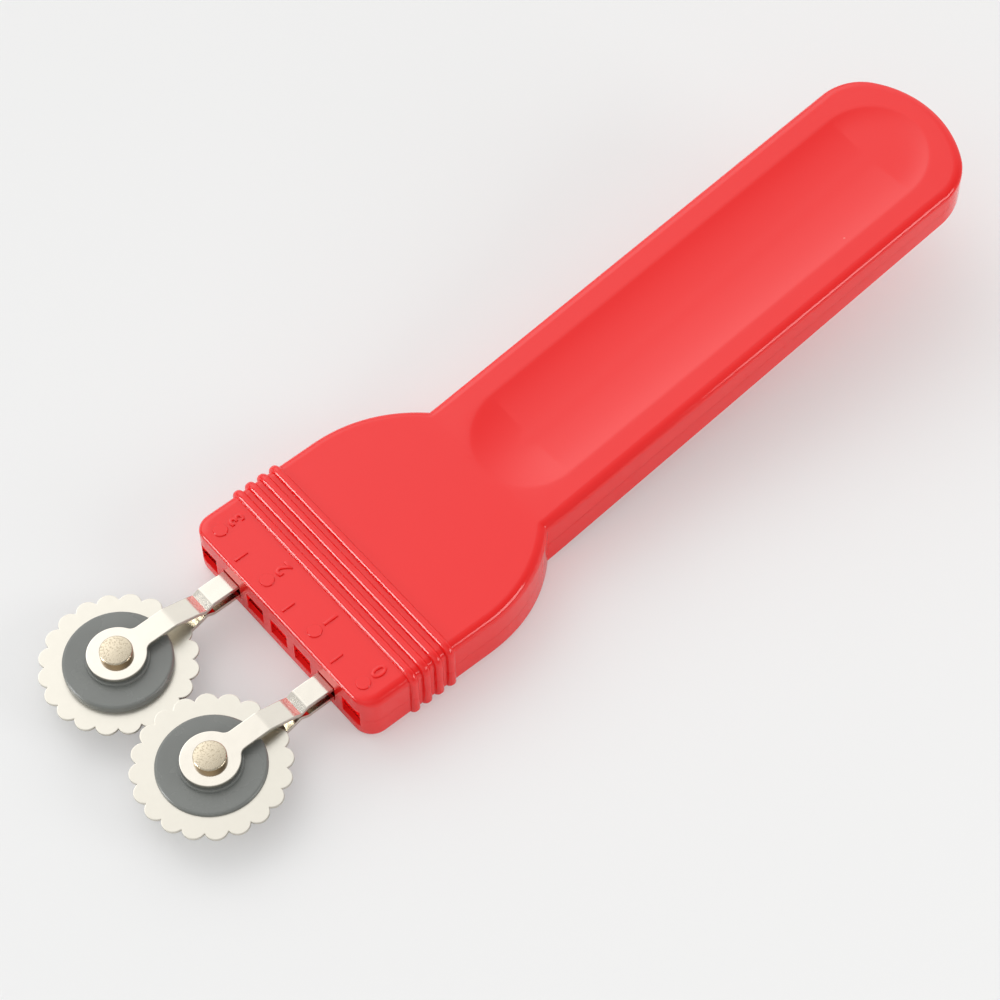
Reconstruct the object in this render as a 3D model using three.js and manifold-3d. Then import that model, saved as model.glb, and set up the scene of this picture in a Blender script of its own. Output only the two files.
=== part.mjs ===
// Double tracing wheel. Two scalloped steel wheels turn in folded spring-steel forks, and the forks
// plug into a row of square sockets in the nose of a flat, two-shell plastic handle.
// Millimetres. X runs across the tool, Y from the wheels towards the end of the grip, Z up.
import * as THREE from "three";
import { mergeVertices } from "three/addons/utils/BufferGeometryUtils.js";
import Module from "manifold-3d";

const wasm = await Module();
wasm.setup();

// Handle: a flat head and a narrower grip that rises away from the table
const HEAD_WIDTH = 37;
const HEAD_HEIGHT = 8.85;
const HEAD_SIDE = 20.5; // straight side of the head, from the nose to the shoulder
const SHOULDER_RADIUS = 21;
const NOSE_CORNER = 2.8;
const EDGE_ROUND = 1.5;
const GRIP_WIDTH = 24.6;
const HANDLE_LENGTH = 115;
const END_RADIUS = 16.5; // the blunt end of the grip, in plan
const END_CORNER = 7.5; // its two rounder corners
const TOP_RISE = 0.155; // how far the top of the grip climbs in each millimetre of its length
const BOTTOM_RISE = 0.195; // the same for its underside, so that the grip thins towards its end
const WALL = 2;

// Thumb recess in the top of the grip
const RECESS_WIDTH = 16;
const RECESS_DEPTH = 1;
const RECESS_LAP = 0.6; // how far the recess runs past the crease into the head
const RECESS_MARGIN = 3.5; // from the recess to the end of the grip

// Half-round ribs round the head
const RIB_COUNT = 4;
const RIB_FIRST = 7.75; // from the nose to the middle of the first rib
const RIB_PITCH = 2;
const RIB_WIDTH = 1.3;
const RIB_CREST = 0.15; // the narrow flat along the top of a rib
const RIB_PROUD = 0.6;

// Sockets in the nose
const SOCKET_SIZE = 3.35;
const SOCKET_PITCH = 5;
const SOCKET_DEPTH = 14;
const SOCKET_HEIGHT = 4.2; // the row's middle above the table
const SOCKET_SIDE_WALL = 1.8; // least wall beside the outermost socket

// Pegs that line the two shells up
const PEG_RADIUS = 1.1;
const PEG_LENGTH = 1.6;
const PEG_ROOT = 0.5; // how far a peg runs up into its post
const POST_RADIUS = 2.4; // the posts that carry the pegs and their holes
const HEAD_PEG_SPREAD = 18; // between the two pegs in the head
const HEAD_PEG_BACK = 6; // from the front of the hollow to the pegs in the head
const GRIP_PEG_FIRST = 10; // from the crease to the first peg in the grip
const GRIP_PEG_PITCH = 26;

// Forks: a strip folded over on itself, with an eye at each end
const STRIP_THICKNESS = 0.6;
const WAIST_REACH = 5.2; // from the nose to where the two legs pinch together
const WAIST_GAP = 0.3;
const SHOULDER_REACH = 4; // from the nose to the bend ahead of the waist
const SHOULDER_DROP = 0.05; // how far the leg has drawn in at that bend
const SPREAD_REACH = 9.9; // from the nose to where the legs run level again
const AXLE_REACH = 18.4; // from the nose to the axle
const EYE_RADIUS = 3.95;
const EYE_FILLET = 1.2;

// Wheels: a thin disc held between the two halves of a plastic hub
const DISC_RADIUS = 10.55; // over the tips of the scallops
const DISC_VALLEY = 9.6; // to the cusps between them
const DISC_THICKNESS = 0.4;
const DISC_OFFSET = 0.35; // the disc sits off the middle of the hub, so that two wheels can overlap
const SCALLOPS = 20;
const HUB_RADIUS = 7.27;
const HUB_HALF = 1.5; // from the middle of the hub to its boss
const BOSS_RADIUS = 4.2;
const BOSS_STEP = 0.5;
const HUB_EDGE = 0.35;
const SPIGOT_RADIUS = 3;
const LEFT_TURN = -8.6; // how far each wheel stands turned, in degrees
const RIGHT_TURN = 2.9;

// Axle rivets
const RIVET_RADIUS = 1.1;
const RIVET_HEAD_RADIUS = 2.2;
const RIVET_HEAD_HEIGHT = 0.95;
const RIVET_HEAD_EDGE = 0.25;

// Clearances
const FIT_GAP = 0.3; // between pieces that lie against each other
const SLIDE_GAP = 0.08; // each side of a fork in its socket
const BORE_GAP = 0.08; // round the rivet and the spigot

// Fineness of the round stretches
const ARC_STEPS = 8;
const EYE_STEPS = 22;
const EDGE_STEPS = 3;
const ROUND_STEPS = 32;
const POST_STEPS = 16;
const DISH_STEPS = 72;
const SCALLOP_STEPS = 4;
const BEND_STEPS = 5;

const PAST = 5; // how far a cutting block runs past what it cuts
const LAP = 0.05; // how far the head runs into the grip where the two are joined
const WELD = 1e-4; // vertices closer than this are one

// Sizes that follow from those above
const shoulderX = HEAD_WIDTH / 2 - SHOULDER_RADIUS;
const neckY = HEAD_SIDE + Math.sqrt(SHOULDER_RADIUS ** 2 - (GRIP_WIDTH / 2 - shoulderX) ** 2);
const socketsEachSide = Math.floor(
  (HEAD_WIDTH / 2 - SOCKET_SIDE_WALL - SOCKET_SIZE / 2) / SOCKET_PITCH,
);
const stripWidth = SOCKET_SIZE - 2 * SLIDE_GAP;
const foldHalf = SOCKET_SIZE / 2 - FIT_GAP;
const foldReach = SOCKET_DEPTH - FIT_GAP;
const legHalf = HUB_HALF + FIT_GAP + STRIP_THICKNESS;
// The first sockets out from the middle where each wheel clears the other one's hub
const forkSocket = Math.ceil((HUB_RADIUS + DISC_RADIUS + FIT_GAP) / (2 * SOCKET_PITCH));

const redPlastic = new THREE.MeshStandardMaterial({
  color: 0xec2f2e,
  roughness: 0.28,
  metalness: 0,
});
const greyPlastic = new THREE.MeshStandardMaterial({
  color: 0x7b7f7d,
  roughness: 0.4,
  metalness: 0,
});
const platedSteel = new THREE.MeshStandardMaterial({
  color: 0xe9e4da,
  roughness: 0.16,
  metalness: 1,
});
const discSteel = new THREE.MeshStandardMaterial({
  color: 0xe6dfcf,
  roughness: 0.3,
  metalness: 1,
});
const rivetSteel = new THREE.MeshStandardMaterial({
  color: 0xc9c0ae,
  roughness: 0.45,
  metalness: 1,
});

// A closed geometry as a solid that can be joined and cut
function solid(geometry) {
  geometry.deleteAttribute("normal");
  geometry.deleteAttribute("uv");
  const merged = mergeVertices(geometry, WELD);
  const mesh = new wasm.Mesh({
    numProp: 3,
    vertProperties: new Float32Array(merged.attributes.position.array),
    triVerts: new Uint32Array(merged.index.array),
  });
  return new wasm.Manifold(mesh);
}

// A solid as a named mesh
function piece(name, body, material) {
  const made = body.getMesh();
  const geometry = new THREE.BufferGeometry();
  geometry.setAttribute("position", new THREE.BufferAttribute(made.vertProperties, 3));
  geometry.setIndex(new THREE.BufferAttribute(made.triVerts, 1));
  geometry.computeVertexNormals();
  const mesh = new THREE.Mesh(geometry, material);
  mesh.name = name;
  return mesh;
}

// A block between two corners
function block(low, high) {
  const size = new THREE.Vector3(...high).sub(new THREE.Vector3(...low));
  const middle = new THREE.Vector3(...high).add(new THREE.Vector3(...low)).multiplyScalar(0.5);
  const geometry = new THREE.BoxGeometry(size.x, size.y, size.z);
  geometry.translate(middle.x, middle.y, middle.z);
  return solid(geometry);
}

// An upright cylinder between two heights
function post(radius, x, y, low, high) {
  const geometry = new THREE.CylinderGeometry(radius, radius, high - low, POST_STEPS);
  geometry.rotateX(Math.PI / 2);
  geometry.translate(x, y, (low + high) / 2);
  return solid(geometry);
}

// A profile of [radius, height] pairs turned about the Z axis
function turned(profile) {
  const points = profile.map(([radius, height]) => new THREE.Vector2(radius, height));
  const geometry = new THREE.LatheGeometry(points, ROUND_STEPS);
  geometry.rotateX(Math.PI / 2);
  return solid(geometry);
}

// A plan outline raised to a slab with rounded edges. Its two faces follow the heights that low and
// high give for each Y, which may slope.
function slab(outline, steps, round, low, high) {
  const geometry = new THREE.ExtrudeGeometry(outline, {
    depth: HEAD_HEIGHT - 2 * round,
    curveSegments: steps,
    bevelEnabled: round > 0,
    bevelThickness: round,
    bevelSize: round,
    bevelOffset: -round,
    bevelSegments: EDGE_STEPS,
  });
  geometry.translate(0, 0, round);
  const position = geometry.attributes.position;
  for (let i = 0; i < position.count; i += 1) {
    const y = position.getY(i);
    const share = position.getZ(i) / HEAD_HEIGHT;
    position.setZ(i, low(y) + share * (high(y) - low(y)));
  }
  return solid(geometry);
}

// Heights of the grip's underside, its top and the parting between the shells
function undersideAt(y) {
  return BOTTOM_RISE * (y - neckY);
}

function topAt(y) {
  return HEAD_HEIGHT + TOP_RISE * (y - neckY);
}

function partingAt(y) {
  return SOCKET_HEIGHT + ((TOP_RISE + BOTTOM_RISE) / 2) * Math.max(0, y - neckY);
}

// The head's plan from its front edge to a tail that runs on under the grip
function headPlan(front, inset, corner) {
  const half = HEAD_WIDTH / 2 - inset;
  const neck = GRIP_WIDTH / 2 - inset;
  const radius = SHOULDER_RADIUS - inset;
  const sweep = Math.acos((neck - shoulderX) / radius);
  const plan = new THREE.Shape();
  plan.absarc(half - corner, front + corner, corner, -Math.PI / 2, 0);
  plan.absarc(shoulderX, HEAD_SIDE, radius, 0, sweep);
  plan.lineTo(neck, neckY + PAST);
  plan.lineTo(-neck, neckY + PAST);
  plan.absarc(-shoulderX, HEAD_SIDE, radius, Math.PI - sweep, Math.PI);
  plan.absarc(corner - half, front + corner, corner, Math.PI, 1.5 * Math.PI);
  plan.closePath();
  return plan;
}

// The grip's plan: straight sides, and a blunt end with two rounder corners
function gripPlan(inset) {
  const half = GRIP_WIDTH / 2 - inset;
  const cornerX = GRIP_WIDTH / 2 - END_CORNER;
  const endY = HANDLE_LENGTH - END_RADIUS;
  const cornerY = endY + Math.sqrt((END_RADIUS - END_CORNER) ** 2 - cornerX ** 2);
  const turn = Math.atan2(cornerY - endY, cornerX);
  const plan = new THREE.Path();
  plan.absarc(cornerX, cornerY, END_CORNER - inset, 0, turn);
  plan.absarc(0, endY, END_RADIUS - inset, turn, Math.PI - turn);
  plan.absarc(-cornerX, cornerY, END_CORNER - inset, Math.PI - turn, Math.PI);
  plan.lineTo(-half, neckY - PAST);
  plan.lineTo(half, neckY - PAST);
  // The arcs meet in one point, which must not come twice
  const points = plan.getPoints(ARC_STEPS);
  const apart = points.filter((point, i) => i === 0 || point.distanceTo(points[i - 1]) > WELD);
  return new THREE.Shape(apart);
}

// The space of the head and the grip, drawn in by an inset all round. Head and grip meet at the crease.
function handleSpace(front, inset, corner, round, floor, roof) {
  const wide = HEAD_WIDTH;
  const tall = 2 * HANDLE_LENGTH;
  const ahead = block([-wide, front - PAST, -tall], [wide, neckY + LAP, tall]);
  const behind = block([-wide, neckY, -tall], [wide, HANDLE_LENGTH + PAST, tall]);
  const headLow = () => floor;
  const headHigh = () => HEAD_HEIGHT - roof;
  const gripLow = (y) => undersideAt(y) + floor;
  const gripHigh = (y) => topAt(y) - roof;
  const head = slab(headPlan(front, inset, corner), ARC_STEPS, round, headLow, headHigh);
  const grip = slab(gripPlan(inset), ARC_STEPS, round, gripLow, gripHigh);
  return head.intersect(ahead).add(grip.intersect(behind));
}

// One rib: the head's cross-section, a little larger, with a half-round edge
function rib(y) {
  const half = HEAD_WIDTH / 2;
  const section = new THREE.Shape();
  section.absarc(half - EDGE_ROUND, HEAD_HEIGHT - EDGE_ROUND, EDGE_ROUND, 0, Math.PI / 2);
  section.absarc(EDGE_ROUND - half, HEAD_HEIGHT - EDGE_ROUND, EDGE_ROUND, Math.PI / 2, Math.PI);
  section.lineTo(-half, -PAST);
  section.lineTo(half, -PAST);
  section.closePath();
  const swell = (RIB_WIDTH - RIB_CREST) / 2;
  const geometry = new THREE.ExtrudeGeometry(section, {
    depth: RIB_CREST,
    curveSegments: EDGE_STEPS,
    bevelThickness: swell,
    bevelSize: RIB_PROUD,
    bevelSegments: EDGE_STEPS,
  });
  geometry.rotateX(Math.PI / 2);
  geometry.translate(0, y + RIB_CREST / 2, 0);
  const aboveTable = block([-HEAD_WIDTH, y - PAST, 0], [HEAD_WIDTH, y + PAST, 2 * HEAD_HEIGHT]);
  return solid(geometry).intersect(aboveTable);
}

// The thumb recess: a long capsule that dips into the sloping top
function recessCutter() {
  const half = RECESS_WIDTH / 2;
  const radius = (half ** 2 + RECESS_DEPTH ** 2) / (2 * RECESS_DEPTH);
  const slope = Math.atan(TOP_RISE);
  const near = neckY - RECESS_LAP + half;
  const far = HANDLE_LENGTH - RECESS_MARGIN - half;
  const middle = (near + far) / 2;
  const run = (far - near) / Math.cos(slope);
  const lift = radius - RECESS_DEPTH;
  const geometry = new THREE.CapsuleGeometry(radius, run, DISH_STEPS / 4, DISH_STEPS, 1);
  geometry.rotateX(slope);
  geometry.translate(0, middle - lift * Math.sin(slope), topAt(middle) + lift * Math.cos(slope));
  return solid(geometry);
}

// Where the pegs stand, as [x, y] pairs
function pegPlaces() {
  const places = [-1, 1].map((side) => [
    (side * HEAD_PEG_SPREAD) / 2,
    SOCKET_DEPTH + WALL + HEAD_PEG_BACK,
  ]);
  const last = HANDLE_LENGTH - GRIP_WIDTH / 2;
  for (let y = neckY + GRIP_PEG_FIRST; y < last; y += GRIP_PEG_PITCH) {
    places.push([0, y]);
  }
  return places;
}

// All that lies on one side of the parting: side 1 is above it, side -1 below
function shellSpace(side) {
  const gap = (side * FIT_GAP) / 2;
  const end = HANDLE_LENGTH + PAST;
  const away = side * 2 * HANDLE_LENGTH;
  const profile = new THREE.Shape();
  profile.moveTo(-PAST, SOCKET_HEIGHT + gap);
  profile.lineTo(neckY, SOCKET_HEIGHT + gap);
  profile.lineTo(end, partingAt(end) + gap);
  profile.lineTo(end, away);
  profile.lineTo(-PAST, away);
  profile.closePath();
  return acrossTool(profile, 2 * HEAD_WIDTH);
}

// A side profile drawn in Y and Z, spread across the tool
function acrossTool(profile, width) {
  const geometry = new THREE.ExtrudeGeometry(profile, { depth: width, bevelEnabled: false });
  const basis = new THREE.Matrix4().makeBasis(
    new THREE.Vector3(0, 1, 0),
    new THREE.Vector3(0, 0, 1),
    new THREE.Vector3(1, 0, 0),
  );
  geometry.applyMatrix4(basis);
  geometry.translate(-width / 2, 0, 0);
  return solid(geometry);
}

function socketX(index) {
  return index * SOCKET_PITCH;
}

// The two shells of the handle
function makeHandle() {
  let body = handleSpace(0, 0, NOSE_CORNER, EDGE_ROUND, 0, 0);
  for (let i = 0; i < RIB_COUNT; i += 1) {
    body = body.add(rib(RIB_FIRST + i * RIB_PITCH));
  }
  body = body.subtract(recessCutter());

  const half = SOCKET_SIZE / 2;
  for (let i = -socketsEachSide; i <= socketsEachSide; i += 1) {
    const low = [socketX(i) - half, -PAST, SOCKET_HEIGHT - half];
    const high = [socketX(i) + half, SOCKET_DEPTH, SOCKET_HEIGHT + half];
    body = body.subtract(block(low, high));
  }

  let hollow = handleSpace(SOCKET_DEPTH + WALL, WALL, WALL / 2, 0, WALL, WALL + RECESS_DEPTH);
  for (const [x, y] of pegPlaces()) {
    hollow = hollow.subtract(post(POST_RADIUS, x, y, -PAST, 2 * HANDLE_LENGTH));
  }
  body = body.subtract(hollow);

  let upper = body.intersect(shellSpace(1));
  let lower = body.intersect(shellSpace(-1));
  for (const [x, y] of pegPlaces()) {
    const level = partingAt(y);
    upper = upper.add(post(PEG_RADIUS, x, y, level - PEG_LENGTH, level + PEG_ROOT));
    const hole = post(PEG_RADIUS + FIT_GAP, x, y, level - PEG_LENGTH - FIT_GAP, level + PAST);
    lower = lower.subtract(hole);
  }
  return [
    piece("handle_upper_shell", upper, redPlastic),
    piece("handle_lower_shell", lower, redPlastic),
  ];
}

// The middle line of the folded strip in Y and Z, from past one eye round the fold to past the other
function stripLine() {
  const fold = foldHalf - STRIP_THICKNESS / 2;
  const waist = (WAIST_GAP + STRIP_THICKNESS) / 2;
  const level = legHalf - STRIP_THICKNESS / 2;
  const at = (y, z) => new THREE.Vector2(y, z);
  const shoulder = fold - SHOULDER_DROP;
  const bendStart = foldReach - foldHalf;
  const bends = [
    new THREE.CubicBezierCurve(
      at(-SPREAD_REACH, level),
      at(-SPREAD_REACH + (SPREAD_REACH - WAIST_REACH) / 3, level),
      at(-WAIST_REACH - (SPREAD_REACH - WAIST_REACH) / 3, waist),
      at(-WAIST_REACH, waist),
    ),
    new THREE.CubicBezierCurve(
      at(-WAIST_REACH, waist),
      at(-(WAIST_REACH + SHOULDER_REACH) / 2, waist),
      at(-(WAIST_REACH + SHOULDER_REACH) / 2, shoulder),
      at(-SHOULDER_REACH, shoulder),
    ),
  ];
  const leg = [at(-AXLE_REACH - EYE_RADIUS - PAST, level), ...bends[0].getPoints(BEND_STEPS)];
  leg.push(...bends[1].getPoints(BEND_STEPS).slice(1), at(0, fold));
  const turn = [];
  for (let i = 0; i <= 2 * BEND_STEPS; i += 1) {
    const angle = Math.PI / 2 - (Math.PI * i) / (2 * BEND_STEPS);
    turn.push(at(bendStart + fold * Math.cos(angle), fold * Math.sin(angle)));
  }
  const back = leg.map((point) => at(point.x, -point.y)).reverse();
  return [...leg, ...turn, ...back];
}

// The strip's side profile: the middle line given its thickness
function stripProfile() {
  const line = stripLine();
  const sides = [[], []];
  line.forEach((point, i) => {
    const before = line[Math.max(0, i - 1)];
    const after = line[Math.min(line.length - 1, i + 1)];
    const along = after.clone().sub(before).normalize();
    const across = new THREE.Vector2(-along.y, along.x).multiplyScalar(STRIP_THICKNESS / 2);
    sides[0].push(point.clone().add(across));
    sides[1].push(point.clone().sub(across));
  });
  return new THREE.Shape([...sides[0], ...sides[1].reverse()]);
}

// The strip in plan about the axle: the eye, and the leg that runs into it with a fillet each side
function stripPlan() {
  const half = stripWidth / 2;
  const end = AXLE_REACH + foldReach + PAST;
  const filletX = half + EYE_FILLET;
  const filletY = Math.sqrt((EYE_RADIUS + EYE_FILLET) ** 2 - filletX ** 2);
  const tilt = Math.atan2(filletY, filletX);
  const plan = new THREE.Shape();
  plan.absarc(filletX, filletY, EYE_FILLET, Math.PI, Math.PI + tilt);
  plan.absarc(0, 0, EYE_RADIUS, tilt, Math.PI - tilt, true);
  plan.absarc(-filletX, filletY, EYE_FILLET, -tilt, 0);
  plan.lineTo(-half, end);
  plan.lineTo(half, end);
  plan.closePath();
  return plan;
}

// A fork: the folded strip, as wide as its plan allows, with a hole for the rivet
function makeFork(name) {
  const blank = new THREE.ExtrudeGeometry(stripPlan(), {
    depth: 2 * (legHalf + PAST),
    curveSegments: EYE_STEPS,
    bevelEnabled: false,
  });
  blank.translate(0, -AXLE_REACH, -legHalf - PAST);
  const strip = acrossTool(stripProfile(), 2 * (EYE_RADIUS + PAST));
  const hole = post(RIVET_RADIUS + BORE_GAP, 0, -AXLE_REACH, -legHalf - PAST, legHalf + PAST);
  return piece(name, strip.intersect(solid(blank)).subtract(hole), platedSteel);
}

// The rivet runs through both eyes, and its heads lie on them
function makeRivet(name) {
  const top = legHalf + RIVET_HEAD_HEIGHT;
  const body = turned([
    [0, -top],
    [RIVET_HEAD_RADIUS - RIVET_HEAD_EDGE, -top],
    [RIVET_HEAD_RADIUS, RIVET_HEAD_EDGE - top],
    [RIVET_HEAD_RADIUS, -legHalf],
    [RIVET_RADIUS, -legHalf],
    [RIVET_RADIUS, legHalf],
    [RIVET_HEAD_RADIUS, legHalf],
    [RIVET_HEAD_RADIUS, top - RIVET_HEAD_EDGE],
    [RIVET_HEAD_RADIUS - RIVET_HEAD_EDGE, top],
    [0, top],
  ]);
  return piece(name, body, rivetSteel);
}

// The disc's outline: an arc from cusp to cusp for each scallop
function discPlan() {
  const halfStep = Math.PI / SCALLOPS;
  const halfChord = DISC_VALLEY * Math.sin(halfStep);
  const chordAt = DISC_VALLEY * Math.cos(halfStep);
  const bulge = DISC_RADIUS - chordAt;
  const radius = (halfChord ** 2 + bulge ** 2) / (2 * bulge);
  const centre = DISC_RADIUS - radius;
  const sweep = Math.atan2(halfChord, chordAt - centre);
  const plan = new THREE.Shape();
  for (let i = 0; i < SCALLOPS; i += 1) {
    const turn = 2 * halfStep * i;
    const x = centre * Math.cos(turn);
    const y = centre * Math.sin(turn);
    for (let k = 0; k < SCALLOP_STEPS; k += 1) {
      const angle = turn - sweep + (2 * sweep * k) / SCALLOP_STEPS;
      const point = [x + radius * Math.cos(angle), y + radius * Math.sin(angle)];
      if (i + k === 0) {
        plan.moveTo(...point);
      } else {
        plan.lineTo(...point);
      }
    }
  }
  plan.closePath();
  const bore = new THREE.Path();
  bore.absarc(0, 0, SPIGOT_RADIUS + BORE_GAP, 0, 2 * Math.PI, true);
  plan.holes.push(bore);
  return plan;
}

// A wheel about its own middle: the hub's body below the disc, its cap above
function makeWheel(side) {
  const discLow = DISC_OFFSET - DISC_THICKNESS / 2;
  const discHigh = DISC_OFFSET + DISC_THICKNESS / 2;
  const flange = HUB_HALF - BOSS_STEP;
  const bore = RIVET_RADIUS + BORE_GAP;
  const body = turned([
    [bore, -HUB_HALF],
    [BOSS_RADIUS, -HUB_HALF],
    [BOSS_RADIUS, -flange],
    [HUB_RADIUS - HUB_EDGE, -flange],
    [HUB_RADIUS, HUB_EDGE - flange],
    [HUB_RADIUS, discLow],
    [SPIGOT_RADIUS, discLow],
    [SPIGOT_RADIUS, discHigh],
    [bore, discHigh],
    [bore, -HUB_HALF],
  ]);
  const cap = turned([
    [bore, discHigh],
    [HUB_RADIUS, discHigh],
    [HUB_RADIUS, flange - HUB_EDGE],
    [HUB_RADIUS - HUB_EDGE, flange],
    [BOSS_RADIUS, flange],
    [BOSS_RADIUS, HUB_HALF],
    [bore, HUB_HALF],
    [bore, discHigh],
  ]);
  const plate = new THREE.ExtrudeGeometry(discPlan(), {
    depth: DISC_THICKNESS,
    curveSegments: ROUND_STEPS,
    bevelEnabled: false,
  });
  plate.translate(0, 0, discLow);
  const wheel = new THREE.Group();
  wheel.add(piece(`${side}_disc`, solid(plate), discSteel));
  wheel.add(piece(`${side}_hub_body`, body, greyPlastic));
  wheel.add(piece(`${side}_hub_cap`, cap, greyPlastic));
  return wheel;
}

// A fork with its rivet and wheel, about the middle of its socket's mouth
function makeWheelUnit(side, turn) {
  const unit = new THREE.Group();
  unit.add(makeFork(`${side}_fork`));
  const rivet = makeRivet(`${side}_axle_rivet`);
  rivet.position.y = -AXLE_REACH;
  unit.add(rivet);
  const wheel = makeWheel(side);
  wheel.position.y = -AXLE_REACH;
  wheel.rotation.z = THREE.MathUtils.degToRad(turn);
  unit.add(wheel);
  return unit;
}

const tool = new THREE.Group();
tool.add(...makeHandle());

// The left unit is plugged in the other way up, which puts its disc below the right one
const leftUnit = makeWheelUnit("left", LEFT_TURN);
leftUnit.position.set(socketX(-forkSocket), 0, SOCKET_HEIGHT);
leftUnit.rotation.y = Math.PI;
tool.add(leftUnit);

const rightUnit = makeWheelUnit("right", RIGHT_TURN);
rightUnit.position.set(socketX(forkSocket), 0, SOCKET_HEIGHT);
tool.add(rightUnit);

// The tool lies on its head. Its origin is under the middle of its length, at the table.
const reach = new THREE.Box3().setFromObject(tool, true);
tool.position.y = -(reach.min.y + reach.max.y) / 2;

export default tool;
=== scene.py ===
# %% [markdown]
# # A double tracing wheel
# Two scalloped steel wheels turn in folded spring-steel forks, and the forks plug into the nose
# of a flat red handle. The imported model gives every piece's place and size. Here each piece is
# modelled again at its fine shape, and gets the finish that the real one has.
#
# The frame is loaded first, because every size below is read from it or set against it.

# %% Load the frame
from math import acos, atan2, cos, degrees, hypot, pi, radians, sin, sqrt

import bmesh
import bpy
from mathutils import Matrix, Vector
from mathutils.geometry import interpolate_bezier


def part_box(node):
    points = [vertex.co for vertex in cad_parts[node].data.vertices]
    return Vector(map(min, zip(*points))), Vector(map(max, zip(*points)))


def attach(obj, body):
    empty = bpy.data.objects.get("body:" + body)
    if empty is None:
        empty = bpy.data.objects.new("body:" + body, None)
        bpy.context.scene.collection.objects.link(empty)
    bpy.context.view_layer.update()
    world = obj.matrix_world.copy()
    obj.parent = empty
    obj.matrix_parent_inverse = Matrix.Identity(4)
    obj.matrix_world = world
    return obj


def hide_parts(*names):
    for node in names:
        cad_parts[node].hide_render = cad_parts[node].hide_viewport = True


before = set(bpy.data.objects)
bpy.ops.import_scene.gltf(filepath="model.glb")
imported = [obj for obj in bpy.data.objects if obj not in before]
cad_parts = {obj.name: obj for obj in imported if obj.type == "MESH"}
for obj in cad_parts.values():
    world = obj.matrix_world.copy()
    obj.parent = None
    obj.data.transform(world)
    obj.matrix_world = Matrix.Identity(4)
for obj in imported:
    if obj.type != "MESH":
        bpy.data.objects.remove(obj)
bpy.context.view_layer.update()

# %% [markdown]
# ## Working in millimetres
# The frame is in metres. A tool this small is easier to read in millimetres, so every piece is
# made in millimetres and scaled once, when it is finished.

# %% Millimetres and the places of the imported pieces
MM = 0.001


def corners(node):
    """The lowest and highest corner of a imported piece, in millimetres"""
    low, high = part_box(node)
    return Vector(low) / MM, Vector(high) / MM


shell_low, shell_high = corners("handle_upper_shell")
nose = shell_low.y
fork_low, fork_high = corners("right_fork")
rivet_low, rivet_high = corners("right_axle_rivet")
rivet_reach = (rivet_high.z - rivet_low.z) / 2
middle_height = (fork_low.z + fork_high.z) / 2
fork_x = (fork_low.x + fork_high.x) / 2
axle_reach = nose - (rivet_low.y + rivet_high.y) / 2
print(f"nose at Y {nose:.2f}, sockets {middle_height:.2f} high, axles {axle_reach:.2f} ahead")

# %% [markdown]
# ## The camera
# The photograph looks down on the tool from its lower right, through a fairly long lens. The
# camera is set first, so that every later step can be judged in the picture. Its place is worked
# out from the point that it looks at, its distance and three angles.

# %% Camera
LENS = 0.11415  # focal length on a sensor 36 mm wide, in metres
AZIMUTH = radians(51.12)
ELEVATION = radians(57.23)
ROLL = radians(-1.18)
DISTANCE = 423.4
LOOK_AT = Vector((2.33, nose + 35.51, 3.5))

back = Vector((cos(ELEVATION) * sin(AZIMUTH), -cos(ELEVATION) * cos(AZIMUTH), sin(ELEVATION)))
level = Vector((cos(AZIMUTH), sin(AZIMUTH), 0))
upright = back.cross(level)
right = cos(ROLL) * level + sin(ROLL) * upright
up = back.cross(right)
camera = bpy.data.objects.new("camera", bpy.data.cameras.new("camera"))
camera.data.lens = LENS / MM
camera.data.clip_start = 0.01
turned = Matrix((right, up, back)).transposed().to_4x4()
camera.matrix_world = Matrix.Translation((LOOK_AT + DISTANCE * back) * MM) @ turned
scene = bpy.context.scene
scene.collection.objects.link(camera)
scene.camera = camera
scene.view_settings.view_transform = "Standard"
print("camera at", [round(value, 3) for value in camera.location])

# %% [markdown]
# ## Shader sums as plain Python
# A finish is a small sum over the surface: a base colour, a little noise, a mask. Wiring each
# Math node by hand hides that sum. So one small class wraps a socket and lets Python's own
# operators make the Math nodes, and one method makes every other node.

# %% A socket that can be added up, and the finish that holds it
class Wire:
    """One output socket that can be used in sums"""

    def __init__(self, finish, socket):
        self.finish = finish
        self.socket = socket

    def __add__(self, other):
        return self.finish.math("ADD", self, other)

    def __sub__(self, other):
        return self.finish.math("SUBTRACT", self, other)

    def __rsub__(self, other):
        return self.finish.math("SUBTRACT", other, self)

    def __mul__(self, other):
        return self.finish.math("MULTIPLY", self, other)

    def __pow__(self, other):
        return self.finish.math("POWER", self, other)

    __radd__ = __add__
    __rmul__ = __mul__


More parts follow.
